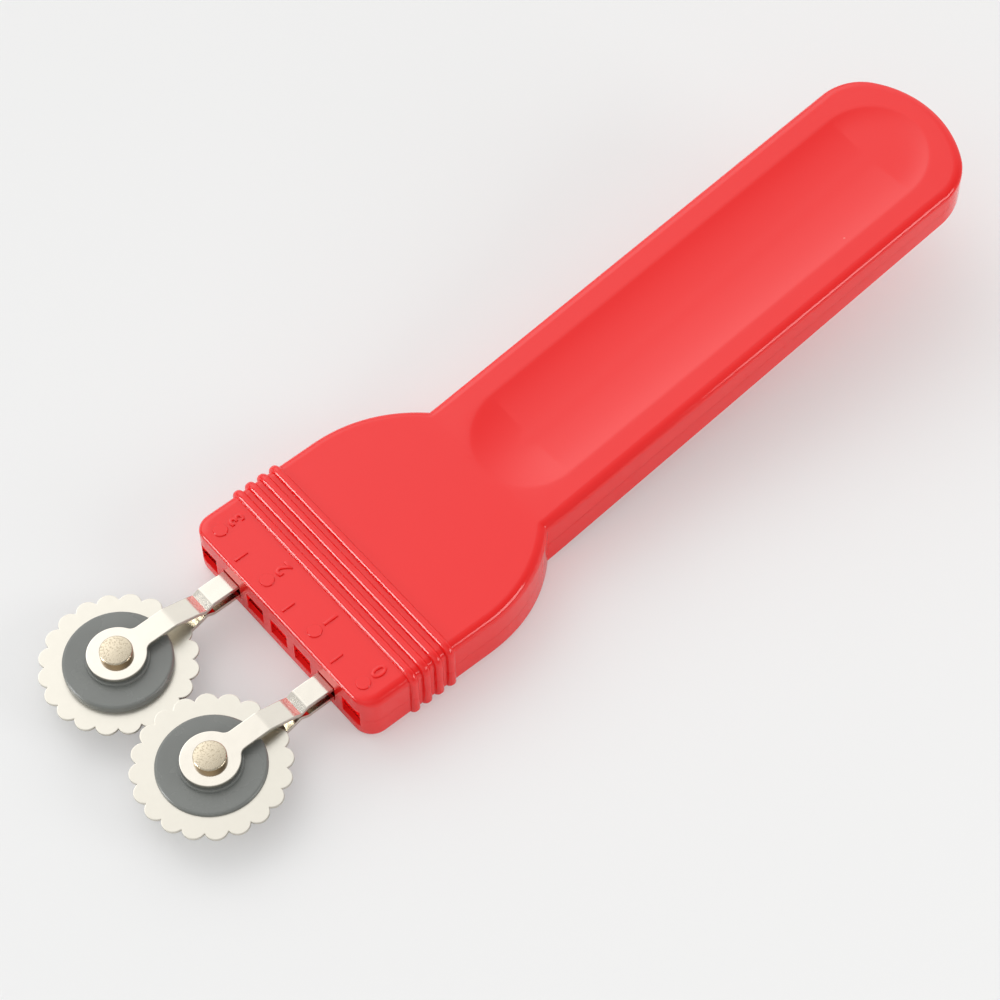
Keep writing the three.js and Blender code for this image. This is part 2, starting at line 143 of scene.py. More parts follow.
class Finish:
    """A node tree that is filled step by step"""

    def __init__(self, tree):
        self.tree = tree

    def node(self, kind, settings=None, inputs=None, output=0):
        """Adds a node: first its settings, then the values or wires of its sockets"""
        node = self.tree.nodes.new("ShaderNode" + kind)
        for name, value in (settings or {}).items():
            setattr(node, name, value)
        self.plug(node, inputs or {})
        return Wire(self, node.outputs[output])

    def plug(self, node, inputs):
        """Sets each socket of a node to a number or colour, or links it to a wire"""
        for name, value in inputs.items():
            if isinstance(value, Wire):
                self.tree.links.new(value.socket, node.inputs[name])
            else:
                node.inputs[name].default_value = value

    def math(self, operation, first, second):
        """A Math node on two numbers or wires"""
        return self.node("Math", {"operation": operation}, {0: first, 1: second})

    def mask(self, value, low, high):
        """0 where a wire is under low, 1 where it is over high, and a smooth step between"""
        settings = {"interpolation_type": "SMOOTHSTEP"}
        inputs = {"Value": value, "From Min": low, "From Max": high}
        return self.node("MapRange", settings, inputs)

    def mix(self, share, first, second):
        """Two colours mixed by a share; the node's colour sockets are 6 and 7, and 2 comes out"""
        inputs = {"Factor": share, 6: first, 7: second}
        return self.node("Mix", {"data_type": "RGBA"}, inputs, output=2)

    def place(self):
        """Where a point of the surface is, in Object coordinates"""
        return self.node("TexCoord", output="Object")

    def bump(self, strength, distance, height):
        """A small relief that only the light sees, with its distance in millimetres"""
        inputs = {"Strength": strength, "Distance": distance * MM, "Height": height}
        return self.node("Bump", inputs=inputs)

    def coordinate(self, place, index):
        """X, Y or Z of a place, as 0, 1 or 2"""
        return self.node("SeparateXYZ", inputs={"Vector": place}, output=index)

    def noise(self, place, size, detail=2.0, roughness=0.5):
        """Cloudy noise whose blots are about a size across, in millimetres"""
        inputs = {"Vector": place, "Scale": 1 / (size * MM)}
        inputs |= {"Detail": detail, "Roughness": roughness}
        return self.node("TexNoise", inputs=inputs)


print("shader sums are ready")

# %% [markdown]
# ## The floor
# The tool lies on a plain white sheet. A large matt plane does that job, and keeps the tool's
# shadow. The sheet in the photograph was bright enough to thin its shadows, so for the camera
# alone a part of the plane's colour glows. No lamp has to be turned up for it, and the tool
# isn't lit by it.

# %% Floor
FLOOR_SIZE = 4000
FLOOR_COLOUR = (0.88, 0.88, 0.875, 1)
FLOOR_GLOW = 0.3  # the share of the floor that glows for the camera


def new_material(name):
    """A material with an empty Principled shader, and the tree to fill it with"""
    material = bpy.data.materials.new(name)
    material.use_nodes = True
    return material, Finish(material.node_tree), material.node_tree.nodes["Principled BSDF"]


sheet_white, floor_finish, floor_shader = new_material("sheet_white")
floor_finish.plug(floor_shader, {"Base Color": FLOOR_COLOUR, "Roughness": 0.9})
glow = floor_finish.node("Emission", inputs={"Color": FLOOR_COLOUR})
for_camera = floor_finish.node("LightPath", output="Is Camera Ray")
matt = Wire(floor_finish, floor_shader.outputs["BSDF"])
seen = floor_finish.node("MixShader", inputs={0: FLOOR_GLOW * for_camera, 1: matt, 2: glow})
floor_finish.plug(sheet_white.node_tree.nodes["Material Output"], {"Surface": seen})
floor_mesh = bpy.data.meshes.new("floor")
plane = bmesh.new()
bmesh.ops.create_grid(plane, x_segments=1, y_segments=1, size=FLOOR_SIZE / 2 * MM)
plane.to_mesh(floor_mesh)
plane.free()
floor = bpy.data.objects.new("floor", floor_mesh)
floor_mesh.materials.append(sheet_white)
scene.collection.objects.link(floor)
print("floor", FLOOR_SIZE, "mm wide")

# %% [markdown]
# ## The light
# The photograph was taken in a tent of soft light that is brightest on the left, with a weaker
# fill from behind the camera, another from beyond the grip, and a darker patch overhead to the
# right. All of that is a world with a few broad lobes of light, which also gives the soft
# shadow.
#
# Two long area lamps, one low on the right and one low ahead of the nose, light the sides and
# draw thin bright lines along the handle's edges. The lines on the ribs are the brightest in the
# photograph, yet the sheet there is not. So the third lamp is narrow, and shows in the shine
# alone.

# %% World and lamps
TENT_LEVEL = 0.38
TENT_LEAN = 0.12  # how much brighter the tent is on the side it leans to
TENT_SIDE = (-0.6, 0.6, 0.5)
LOBES = [
    # the side it comes from, its level and how narrow it is
    ((-0.74, 0.04, 0.67), 2.0, 9.0),  # the bright left side
    ((0.35, -0.55, 0.75), 0.52, 3.0),  # the fill from behind the camera
    ((-0.42, 0.78, 0.46), 0.6, 10.0),  # the light beyond the grip
    ((0.42, 0.34, 0.84), -0.25, 10.0),  # the darker patch
]

world = bpy.data.worlds.new("studio")
world.use_nodes = True
scene.world = world
studio = Finish(world.node_tree)
direction = studio.node("TexCoord", output="Generated")


def towards(side):
    """How far a direction of the world points to a side, from -1 to 1"""
    inputs = {0: direction, 1: Vector(side).normalized()}
    return studio.node("VectorMath", {"operation": "DOT_PRODUCT"}, inputs, output="Value")


strength = TENT_LEVEL + TENT_LEAN * towards(TENT_SIDE)
for side, lobe_level, narrowness in LOBES:
    strength += lobe_level * studio.math("MAXIMUM", towards(side), 0.0) ** narrowness
studio.plug(world.node_tree.nodes["Background"], {"Color": (1, 1, 1, 1), "Strength": strength})


def add_strip_light(name, towards_light, distance, width, height, radiance):
    """A long lamp that faces the tool from a direction; radiance is how bright it looks"""
    lamp = bpy.data.lights.new(name, "AREA")
    lamp.shape = "RECTANGLE"
    lamp.size = width * MM
    lamp.size_y = height * MM
    lamp.energy = radiance * pi * lamp.size * lamp.size_y
    holder = bpy.data.objects.new(name, lamp)
    away = Vector(towards_light).normalized()
    holder.location = away * distance * MM
    holder.rotation_euler = away.to_track_quat("Z", "Y").to_euler()
    scene.collection.objects.link(holder)
    print(name, "gives", round(lamp.energy, 2), "W")
    return holder


add_strip_light(
    "right_strip", (0.78, 0.48, 0.4), distance=655, width=330, height=240, radiance=4.5
)
add_strip_light(
    "front_strip", (-0.42, -0.84, 0.34), distance=620, width=500, height=150, radiance=3.1
)
shine = add_strip_light(
    "front_shine", (-0.42, -0.82, 0.38), distance=610, width=160, height=340, radiance=9
)
shine.visible_diffuse = False

# %% [markdown]
# ## The red plastic
# The handle is moulded in glossy red plastic. Under the gloss the colour is even and deep; what
# shows is the soft picture of the studio in it, a trace of orange peel, and a few specks and
# fine marks from use.
#
# The walls of the nose are thin and let some light through, so the inside of each socket is a
# brighter red than the light from its mouth alone would make it. A faint red glow, kept to the
# place of the sockets, stands for that light.

# %% Red plastic
RED_LOW = (0.87, 0.0165, 0.0165, 1)
RED_HIGH = (0.9, 0.02, 0.019, 1)
CLOUD_SIZE = 18
PEEL_SIZE = 0.9
RUB_SIZE = 5
DUST_COLOUR = (0.95, 0.35, 0.3, 1)
DUST_SPACING = 7
GLOW_COLOUR = (0.34, 0.005, 0.005, 1)
GLOW_START = 0.3  # behind the nose
GLOW_FULL = 1.5
GLOW_END = 14.5
GLOW_HALF_WIDTH = 17  # of the socket row
GLOW_HALF_HEIGHT = 1.75  # of one socket


def off_middle(finish, place):
    """How far a place is above or below the middle of the sockets"""
    return finish.math("ABSOLUTE", finish.coordinate(place, 2) - middle_height * MM, 0.0)


def in_sockets(finish, place):
    """1 on the walls of the sockets and 0 elsewhere, with soft ends"""

    def within(value, limit, soft):
        return 1 - finish.mask(value, (limit - soft) * MM, limit * MM)

    along = finish.coordinate(place, 1)
    off_centre = finish.math("ABSOLUTE", finish.coordinate(place, 0), 0.0)
    inside = finish.mask(along, (nose + GLOW_START) * MM, (nose + GLOW_FULL) * MM)
    inside = inside * within(along, nose + GLOW_END, 0.2)
    inside = inside * within(off_centre, GLOW_HALF_WIDTH, 0.2)
    return inside * within(off_middle(finish, place), GLOW_HALF_HEIGHT, 0.05)


def make_red_plastic():
    """Glossy red with slow clouds, orange peel, rubbed places, specks of dust and the glow"""
    material, finish, shader = new_material("red_plastic")
    place = finish.place()
    clouds = finish.noise(place, CLOUD_SIZE, detail=3)
    peel = finish.noise(place, PEEL_SIZE, detail=2)
    rub = finish.mask(finish.noise(place, RUB_SIZE, detail=6, roughness=0.7), 0.55, 0.75)
    scale = 1 / (DUST_SPACING * MM)
    from_speck = finish.node("TexVoronoi", {"feature": "F1"}, {"Vector": place, "Scale": scale})
    dust = 1 - finish.mask(from_speck, 0.012, 0.03)
    red = finish.mix(clouds, RED_LOW, RED_HIGH)
    look = {
        "Base Color": finish.mix(0.4 * dust, red, DUST_COLOUR),
        "Roughness": 0.08 + 0.04 * clouds + 0.05 * rub,
        "Normal": finish.bump(0.06, 0.05, peel + 0.4 * clouds),
        "IOR": 1.49,
        "Emission Color": finish.mix(in_sockets(finish, place), (0, 0, 0, 1), GLOW_COLOUR),
        "Emission Strength": 1.0,
    }
    finish.plug(shader, look)
    return material


red_plastic = make_red_plastic()
print("made", red_plastic.name)

# %% [markdown]
# ## The metals
# The forks are spring steel with a bright nickel plate: nearly a mirror, a little yellow, and
# never quite flat. The discs carry the same plate over a satin surface, so they read as cream.
# Both are metals with different noise in their roughness and bump, so one function makes them.
#
# The rivet heads were struck in a worn tool. Their faces are speckled with shallow dents that
# have gone dark. Their smooth sides get a painted reflection, a darker brown. So both are masked
# by height: the dents lie only near the two faces, and the painted brown only between them.

# %% Nickel plate, satin disc and struck rivet
WAVE_SIZE = 2.6
TONE_SIZE = 1.1
SCRATCH_SIZE = 0.12
DARK_SHARE = 0.78  # how dark the darker tone is beside the metal's own colour
DENT_SIZE = 0.3
DENT_COLOUR = (0.36, 0.29, 0.19, 1)
# a painted reflection on the rivet's sides: a darker brown
PAINTED_SIDE_REFLECTION = (0.42, 0.31, 0.18, 1)


def make_metal(name, colour, roughness, wave, dents=0.0):
    """A plated metal; wave is its unevenness, and dents are for a struck face with painted side
    reflection
    """
    material, finish, shader = new_material(name)
    place = finish.place()
    waves = finish.noise(place, WAVE_SIZE, detail=1)
    grain = finish.noise(place, SCRATCH_SIZE, detail=3, roughness=0.7)
    tone = finish.noise(place, TONE_SIZE, detail=4, roughness=0.65)
    dark = tuple(DARK_SHARE * part for part in colour)
    base = finish.mix(0.25 * tone, (*colour, 1), (*dark, 1))
    relief = wave * waves + 0.04 * grain
    rough = roughness + 0.08 * grain
    if dents:
        high = off_middle(finish, place)
        on_face = finish.mask(high, (rivet_reach - 0.3) * MM, (rivet_reach - 0.12) * MM)
        blots = finish.noise(place, DENT_SIZE, detail=4, roughness=0.62)
        struck = dents * finish.mask(blots, 0.54, 0.62) * on_face
        # the painted reflection goes on the sides between the faces, and the dark colour into the
        # dents
        base = finish.mix(struck, finish.mix(on_face, PAINTED_SIDE_REFLECTION, base), DENT_COLOUR)
        relief = relief - 1.5 * struck
        rough = rough + 0.2 * struck
    look = {"Base Color": base, "Metallic": 1.0, "Roughness": rough}
    finish.plug(shader, look | {"Normal": finish.bump(0.35, 0.05, relief)})
    return material


nickel = make_metal("nickel_plate", (0.71, 0.67, 0.595), 0.08, 0.9)
satin = make_metal("satin_nickel", (0.685, 0.655, 0.58), 0.3, 0.25)
struck_steel = make_metal("struck_steel", (0.57, 0.5, 0.38), 0.16, 0.3, dents=0.45)
print("made", nickel.name, satin.name, struck_steel.name)

# %% [markdown]
# ## The grey plastic
# The hubs are moulded in a satin grey plastic. A fine grain in the bump breaks the reflection
# up, and slow clouds keep the grey from being dead flat.

# %% Grey plastic
GREY_LOW = (0.175, 0.184, 0.172, 1)
GREY_HIGH = (0.208, 0.217, 0.203, 1)
GREY_CLOUD_SIZE = 4
GREY_GRAIN_SIZE = 0.15


def make_grey_plastic():
    """Satin grey with slow clouds and a fine grain"""
    material, finish, shader = new_material("grey_plastic")
    place = finish.place()
    clouds = finish.noise(place, GREY_CLOUD_SIZE, detail=3)
    grain = finish.noise(place, GREY_GRAIN_SIZE, detail=2)
    look = {
        "Base Color": finish.mix(clouds, GREY_LOW, GREY_HIGH),
        "Roughness": 0.24 + 0.06 * clouds,
        "Normal": finish.bump(0.15, 0.02, grain),
        "IOR": 1.5,
    }
    finish.plug(shader, look)
    return material


grey_plastic = make_grey_plastic()
print("made", grey_plastic.name)

# %% [markdown]
# ## Tools for the bench
# Every piece below is started from arcs, closed into a face, raised and softened. These few
# helpers do that, and the last one turns the finished bmesh into a piece that rides on its body.

# %% Outline, raise, round, cut and finish
TOUCH = 1e-4  # points closer than this are one
HOLD = 0.05  # a strip this wide round a flat face keeps its shading flat
LEVEL = 0.999  # the least upright part of the normal of a level face
RIM_ANGLE = radians(40)  # an edge of a level face turns more than this
SHARP = radians(38)  # an edge that turns more than this is shaded as a corner


def draw_loop(work, arcs):
    """Joins arcs of (centre x, centre y, radius, start, sweep, steps) into one closed loop"""
    ends = []
    for x, y, radius, start, sweep, steps in arcs:
        first = work.verts.new((x + radius * cos(start), y + radius * sin(start), 0))
        turned = bmesh.ops.spin(
            work, geom=[first], cent=(x, y, 0), axis=(0, 0, 1), angle=sweep, steps=steps
        )
        last = next(item for item in turned["geom_last"] if isinstance(item, bmesh.types.BMVert))
        ends.append((first, last))
    for index, (first, _) in enumerate(ends):
        before = ends[index - 1][1]
        if (before.co - first.co).length > TOUCH:
            work.edges.new((before, first))
    bmesh.ops.remove_doubles(work, verts=work.verts, dist=TOUCH)


def circle_arc(x, y, radius, steps):
    """A full circle as one arc"""
    return [(x, y, radius, 0, 2 * pi, steps)]


def raise_faces(work, faces, height):
    """Raises flat faces by a height, so that they become closed solids"""
    raised = bmesh.ops.extrude_face_region(work, geom=faces)
    verts = [item for item in raised["geom"] if isinstance(item, bmesh.types.BMVert)]
    bmesh.ops.translate(work, vec=(0, 0, height), verts=verts)
    bmesh.ops.recalc_face_normals(work, faces=work.faces)


def round_edges(work, chosen, radius, segments):
    """Rounds the edges that a test picks, and says how many they were"""
    edges = [edge for edge in work.edges if chosen(edge)]
    bmesh.ops.bevel(
        work, geom=edges, offset=radius, offset_type="OFFSET", segments=segments, profile=0.5,
        affect="EDGES", material=-1, clamp_overlap=False,
    )
    return len(edges)


def hold_flats(work):
    """Draws a narrow strip round the level faces, so that the shading of the edge stays in it"""
    flats = [face for face in work.faces if abs(face.normal.z) > LEVEL]
    bmesh.ops.inset_region(work, faces=flats, thickness=HOLD, use_even_offset=True)


def cut(work, place, direction, region=None):
    """Adds edges where a plane crosses the mesh, or only the faces of a region"""
    faces = list(work.faces) if region is None else region
    edges = {edge for face in faces for edge in face.edges}
    verts = {vert for face in faces for vert in face.verts}
    geom = [*faces, *edges, *verts]
    bmesh.ops.bisect_plane(work, geom=geom, dist=TOUCH, plane_co=place, plane_no=direction)


def is_rim(edge, *heights):
    """Whether an edge lies at one of these heights, where a level face meets a wall"""
    turns = edge.calc_face_angle(0) > RIM_ANGLE
    return turns and any(all(abs(vert.co.z - z) < TOUCH for vert in edge.verts) for z in heights)


def finish_piece(name, work, body, slot, material, *replaced):
    """Moves a piece from nose millimetres to the frame, as an object that rides on its body"""
    bmesh.ops.translate(work, vec=(0, nose, 0), verts=work.verts)
    bmesh.ops.scale(work, vec=(MM, MM, MM), verts=work.verts)
    for face in work.faces:
        face.smooth = True
    for edge in work.edges:
        edge.smooth = edge.calc_face_angle(0) < SHARP
    mesh = bpy.data.meshes.new(name)
    work.to_mesh(mesh)
    work.free()
    mesh.materials.append(material)
    piece = bpy.data.objects.new(name, mesh)
    scene.collection.objects.link(piece)
    piece.modifiers.new("even_shading", "WEIGHTED_NORMAL").keep_sharp = True
    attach(piece, body)
    if replaced:
        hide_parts(*replaced)
    print(name, len(mesh.polygons), "faces")


print("edges are shaded sharp from", round(degrees(SHARP)), "degrees")

# %% [markdown]
# ## The handle's sizes
# The handle is a flat blank: a head with straight sides and round shoulders, and a narrower grip
# with a blunt round end. Only the grip slopes. All lengths run from the nose towards the end of
# the grip. The rounding of the edges is not the same everywhere: it is tightest along the top of
# the nose and along the grip's underside, and widest round the top of the grip.

# %% Sizes of the handle
HEAD_HALF = 18.5
HEAD_HEIGHT = 8.85
HEAD_SIDE = 20.5
SHOULDER_RADIUS = 21
NOSE_CORNER = 2.8
HEAD_EDGE = 1.3
NOSE_EDGE = 0.55
GRIP_EDGE = 1.4
GRIP_BASE_EDGE = 0.55
GRIP_HALF = 12.3
END_RADIUS = 16.5
END_CORNER = 7.5
TOP_RISE = 0.155
BOTTOM_RISE = 0.195
handle_length = shell_high.y - nose
shoulder_x = HEAD_HALF - SHOULDER_RADIUS
neck = HEAD_SIDE + sqrt(SHOULDER_RADIUS**2 - (GRIP_HALF - shoulder_x) ** 2)
corner_x = GRIP_HALF - END_CORNER
end_y = handle_length - END_RADIUS
corner_y = end_y + sqrt((END_RADIUS - END_CORNER) ** 2 - corner_x**2)
end_turn = atan2(corner_y - end_y, corner_x)
print(f"handle {handle_length:.1f} mm long, crease {neck:.2f} mm from the nose")

# %% [markdown]
# ## The handle's blank
# In plan the handle is seven arcs joined by straight runs, so the outline is seven spins of one
# point. The closed face is raised to the head's height, and all round its top and bottom the
# edge gets the widest rounding, that of the grip's top. Where the rounding is tighter, its
# points are then drawn out towards the corner that they were cut from.

# %% Blank
def handle_outline():
    """The seven arcs of the outline, from the nose's right corner round to its left one"""
    sweep = acos((GRIP_HALF - shoulder_x) / SHOULDER_RADIUS)
    inner = HEAD_HALF - NOSE_CORNER
    right_side = [
        (inner, NOSE_CORNER, NOSE_CORNER, -pi / 2, pi / 2, 12),
        (shoulder_x, HEAD_SIDE, SHOULDER_RADIUS, 0, sweep, 40),
        (corner_x, corner_y, END_CORNER, 0, end_turn, 24),
    ]
    end = (0, end_y, END_RADIUS, end_turn, pi - 2 * end_turn, 36)
    left_side = [
        (-x, y, radius, pi - start - sweep, sweep, steps)
        for x, y, radius, start, sweep, steps in reversed(right_side)
    ]
    return [*right_side, end, *left_side]


def smooth_step(share):
    """0 below 0, 1 above 1 and a smooth step between"""
    share = min(max(share, 0), 1)
    return share * share * (3 - 2 * share)


def straight_out(x, y, middle_x, middle_y, radius):
    """The point of a round stretch of the outline that lies straight out from a place"""
    middle = Vector((middle_x, middle_y))
    return middle + radius * (Vector((x, y)) - middle).normalized()


def edge_place(x, y):
    """The point of the outline nearest to a place in plan, on the side where X is positive"""
    if y > corner_y and atan2(y - end_y, x) > end_turn:
        return straight_out(x, y, 0, end_y, END_RADIUS)
    if y > corner_y:
        return straight_out(x, y, corner_x, corner_y, END_CORNER)
    if y > neck:
        return Vector((GRIP_HALF, y))
    if y > HEAD_SIDE:
        return straight_out(x, y, shoulder_x, HEAD_SIDE, SHOULDER_RADIUS)
    if y > NOSE_CORNER:
        return Vector((HEAD_HALF, y))
    if x > HEAD_HALF - NOSE_CORNER:
        return straight_out(x, y, HEAD_HALF - NOSE_CORNER, NOSE_CORNER, NOSE_CORNER)
    return Vector((x, 0))


def edge_size(x, y, on_top):
    """The rounding that the edge has at a place of the outline"""
    past_head = smooth_step((y - HEAD_SIDE) / (neck - HEAD_SIDE))
    if not on_top:
        return HEAD_EDGE + (GRIP_BASE_EDGE - HEAD_EDGE) * past_head
    if y > NOSE_CORNER:
        return HEAD_EDGE + (GRIP_EDGE - HEAD_EDGE) * past_head
    turn = atan2(max(x - (HEAD_HALF - NOSE_CORNER), 0), NOSE_CORNER - y) / (pi / 2)
    return NOSE_EDGE + (HEAD_EDGE - NOSE_EDGE) * smooth_step(turn)


def settle_edges(work):
    """Draws the rounding out towards its corner, so that it is as tight as it should be"""
    for vert in work.verts:
        x, y, z = vert.co
        on_top = z > HEAD_HEIGHT / 2
        corner = edge_place(abs(x), y)
        inset = (Vector((abs(x), y)) - corner).length
        below = HEAD_HEIGHT - z if on_top else z
        if inset > GRIP_EDGE + TOUCH or below > GRIP_EDGE + TOUCH:
            continue
        share = edge_size(corner.x, corner.y, on_top) / GRIP_EDGE
        moved = corner.lerp(Vector((abs(x), y)), share)
        vert.co.x = moved.x if x > 0 else -moved.x
        vert.co.y = moved.y
        vert.co.z = HEAD_HEIGHT - below * share if on_top else below * share


blank = bmesh.new()
draw_loop(blank, handle_outline())
bmesh.ops.edgeloop_fill(blank, edges=blank.edges)
raise_faces(blank, blank.faces[:], HEAD_HEIGHT)
round_edges(blank, lambda edge: is_rim(edge, 0, HEAD_HEIGHT), GRIP_EDGE, 8)
settle_edges(blank)
print("blank:", len(blank.faces), "faces")

# %% [markdown]
# ## The thumb recess
# A long shallow trough with round ends is sunk into the grip. Its depth depends mostly on the
# distance from its middle line, so the mesh follows that: a capsule outline is let into the top
# face and then inset again and again, and each ring is lowered later by the trough's section.
# Rings that follow the shape keep its rim clean, where a square grid would leave steps. Towards
# the end of the grip the trough gets shallower and flatter, with a short steep rim.

# %% Rings of the recess
RECESS_HALF = 8
RECESS_DEPTH = 1
RECESS_LAP = 0.6
RECESS_MARGIN = 3.5
END_DEPTH = 0.5
END_FLATNESS = 6
END_BLEND = 18
RIM_SOFT = 0.05  # how softly the trough runs out at its rim
RIM_REACH = 0.5  # how far outside the rim the first ring lies
RINGS = [0.2, 0.15, 0.1, 0.05, 0.1, 0.15, 0.25, 0.5, 0.75] + [0.75] * 7  # from there inwards
RING_STEPS = 56  # round each end
recess_near = neck - RECESS_LAP + RECESS_HALF
recess_far = handle_length - RECESS_MARGIN - RECESS_HALF
trough_radius = (RECESS_HALF**2 + RECESS_DEPTH**2) / (2 * RECESS_DEPTH)


def recess_depth(x, y):
    """How far the trough dips at a place in plan"""
    away = hypot(x, max(recess_near - y, 0, y - recess_far))
    dip = sqrt(trough_radius**2 - away**2) - (trough_radius - RECESS_DEPTH)
    end_dip = END_DEPTH * (1 - (away / RECESS_HALF) ** END_FLATNESS)
    dip += (end_dip - dip) * smooth_step(1 + (y - recess_far) / END_BLEND)
    return (dip + sqrt(dip**2 + 4 * RIM_SOFT**2)) / 2


def top_face(work):
    """The largest flat face on top"""
    flats = [face for face in work.faces if face.normal.z > LEVEL]
    return max(flats, key=lambda face: face.calc_area())


flat_top = top_face(blank)
bmesh.ops.inset_region(blank, faces=[flat_top], thickness=HOLD, use_even_offset=True)
cut(blank, (0, HEAD_SIDE, 0), (0, 1, 0))
back_top = top_face(blank)
border = list(back_top.edges)
bmesh.ops.delete(blank, geom=[back_top], context="FACES_ONLY")
ring = RECESS_HALF + RIM_REACH
ring_work = bmesh.new()
near_end = (0, recess_near, ring, pi, pi, RING_STEPS)
far_end = (0, recess_far, ring, 0, pi, RING_STEPS)
draw_loop(ring_work, [near_end, far_end])
bmesh.ops.translate(ring_work, vec=(0, 0, HEAD_HEIGHT), verts=ring_work.verts)
ring_mesh = bpy.data.meshes.new("recess_ring")
ring_work.to_mesh(ring_mesh)
ring_work.free()
before = set(blank.edges)
blank.from_mesh(ring_mesh)
bpy.data.meshes.remove(ring_mesh)
loop = [edge for edge in blank.edges if edge not in before]
bmesh.ops.triangle_fill(blank, use_beauty=True, edges=border + loop, normal=(0, 0, 1))
floor_of_recess = bmesh.ops.edgeloop_fill(blank, edges=loop)["faces"]
for width in RINGS:
    bmesh.ops.inset_region(blank, faces=floor_of_recess, thickness=width, use_even_offset=True)
bmesh.ops.recalc_face_normals(blank, faces=blank.faces)
middle_strip = 2 * (ring - sum(RINGS))
print(f"recess: {len(RINGS)} rings, middle strip {middle_strip:.2f} mm wide")

# %% [markdown]
# ## Ribs and crease
# Four half-round ribs run over the head. The mesh is cut where each rib needs a step, closer
# together towards its feet, and every point on a cut is then pushed out along the head's own
# outside. The underside stays flat, because the tool lies on it. The same kind of cut makes the
# crease where the grip starts to climb.

# %% Rib and crease cuts
RIB_COUNT = 4
RIB_FIRST = 7.75
RIB_PITCH = 2
RIB_WIDTH = 1.3
RIB_CREST = 0.15
RIB_PROUD = 0.6
RIB_STEPS = 6
CREASE_SOFT = 1.2  # over what length the crease turns
CREASE_CUTS = (-3, -2, -1.2, -0.7, -0.35, 0, 0.35, 0.7, 1.2, 2, 3)  # in that length
swell = (RIB_WIDTH - RIB_CREST) / 2
rib_middles = [RIB_FIRST + index * RIB_PITCH for index in range(RIB_COUNT)]


def rib_height(y):
    """How far the nearest rib stands proud at a distance from the nose"""
    from_crest = min(abs(y - middle) for middle in rib_middles) - RIB_CREST / 2
    share = min(max(from_crest / swell, 0), 1)
    return RIB_PROUD * sqrt(1 - share**2)


for middle in rib_middles:
    for step in range(RIB_STEPS + 1):
        reach = RIB_CREST / 2 + swell * sin(pi / 2 * step / RIB_STEPS)
        cut(blank, (0, middle - reach, 0), (0, 1, 0))
        cut(blank, (0, middle + reach, 0), (0, 1, 0))
for step in CREASE_CUTS:
    cut(blank, (0, neck + step * CREASE_SOFT, 0), (0, 1, 0))
print("after the cuts:", len(blank.faces), "faces")

# %% [markdown]
# ## The sockets
# Seven square sockets open in the nose. Their outline is cut into the front, and the faces
# inside it are drawn back into the handle. The two outer ones run a little way into the nose's
# round corners, so their faces are picked by place and not by number. Each mouth gets a small
# moulded radius.

# %% Sockets
SOCKET_HALF = 3.35 / 2
SOCKET_PITCH = 5
SOCKET_DEPTH = 14
SOCKETS_EACH_SIDE = 3
MOUTH_ROUND = 0.12
NOSE_NEAR = 1  # the nose's faces lie this near
NOSE_FACING = 0.6  # and look ahead at least this much
socket_xs = [SOCKET_PITCH * index for index in range(-SOCKETS_EACH_SIDE, SOCKETS_EACH_SIDE + 1)]


def front_faces(work):
    """The faces of the nose that look ahead"""
    near = [face for face in work.faces if face.calc_center_median().y < NOSE_NEAR]
    return [face for face in near if face.normal.y < -NOSE_FACING]


def socket_at(point):
    """The middle of the socket whose mouth holds a point, if there is one"""
    for x in socket_xs:
        if abs(point.x - x) < SOCKET_HALF and abs(point.z - middle_height) < SOCKET_HALF:
            return x
    return None


def edge_key(edge):
    """A key for an edge by the place of its middle, which still holds when it is made again"""
    return tuple(round(part, 3) for part in edge.verts[0].co + edge.verts[1].co)


for height in (middle_height - SOCKET_HALF, middle_height + SOCKET_HALF):
    cut(blank, (0, 0, height), (0, 0, 1), front_faces(blank))
for x in socket_xs:
    cut(blank, (x - SOCKET_HALF, 0, 0), (1, 0, 0), front_faces(blank))
    cut(blank, (x + SOCKET_HALF, 0, 0), (1, 0, 0), front_faces(blank))
mouths = [face for face in front_faces(blank) if socket_at(face.calc_center_median()) is not None]
mouth_edges = {edge for face in mouths for edge in face.edges}
rims = [edge for edge in mouth_edges if any(face not in mouths for face in edge.link_faces)]
rim_keys = {edge_key(edge) for edge in rims}
drawn = bmesh.ops.extrude_face_region(blank, geom=mouths)
backs = [item for item in drawn["geom"] if isinstance(item, bmesh.types.BMVert)]
bmesh.ops.translate(blank, vec=(0, SOCKET_DEPTH, 0), verts=backs)
bmesh.ops.delete(blank, geom=mouths, context="FACES")
bmesh.ops.recalc_face_normals(blank, faces=blank.faces)
rounded = round_edges(blank, lambda edge: edge_key(edge) in rim_keys, MOUTH_ROUND, 2)
print(len(socket_xs), "sockets,", rounded, "rim edges rounded")

# %% [markdown]
# ## The slope, the ribs and the dip
# Now every cut is in place, so the points can be moved: the ribs outwards, the recess down, and
# the grip along its slope. The grip thins towards its end, because its underside climbs faster
# than its top.

# %% Move the points
def outward(vert):
    """Which way the head's outside faces at a point beside or above it"""
    beside = max(abs(vert.co.x) - (HEAD_HALF - HEAD_EDGE), 0)
    above = max(vert.co.z - (HEAD_HEIGHT - HEAD_EDGE), 0)
    below = max(HEAD_EDGE - vert.co.z, 0)
    facing = Vector((beside, 0, above - below))
    if facing.length < TOUCH:
        return facing
    facing.normalize()
    return Vector((facing.x if vert.co.x > 0 else -facing.x, 0, max(facing.z, 0)))


def climb_at(y):
    """How far along the slope a place is, with a soft start at the crease"""
    past = y - neck
    return (past + sqrt(past**2 + CREASE_SOFT**2)) / 2


